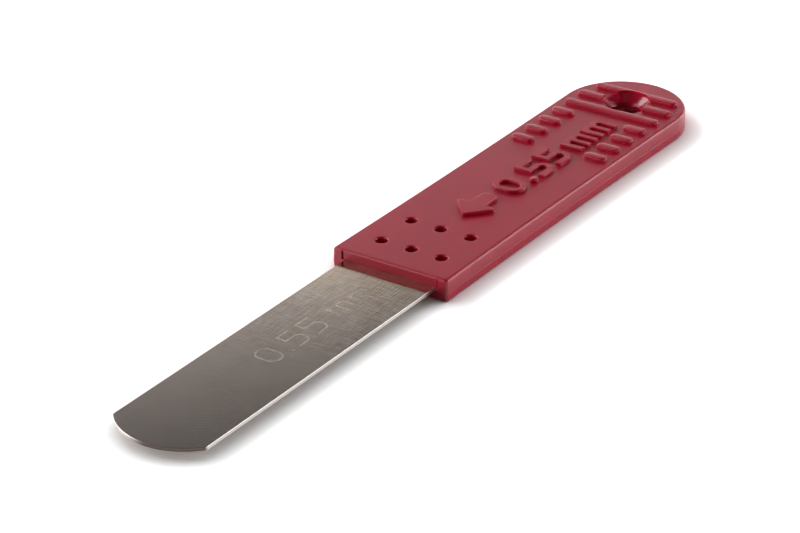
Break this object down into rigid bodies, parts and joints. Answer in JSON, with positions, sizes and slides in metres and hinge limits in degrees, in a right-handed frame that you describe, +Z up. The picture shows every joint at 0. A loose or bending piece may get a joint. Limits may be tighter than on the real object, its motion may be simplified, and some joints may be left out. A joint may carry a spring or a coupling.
{
  "type": "valve clearance gauge",
  "caption": "Steel feeler strip of fixed thickness with a round tip, moulded into a flat ribbed plastic handle with a hang hole.",
  "frame": {"origin": "centre of the outline's box, on the plane of the handle's flat underside", "axes": "+X along the gauge from the strip's tip to the handle's end, +Y across the handle, +Z up through the ribbed face"},
  "size_m": [0.124, 0.019, 0.0039],
  "materials": {
    "strip_steel": "satin rolled strip with polished edges",
    "handle_plastic": "fine-grained moulded plastic, dark red"
  },
  "bodies": {
    "root": {"blade": "strip_steel", "handle": "handle_plastic"}
  },
  "joints": []
}
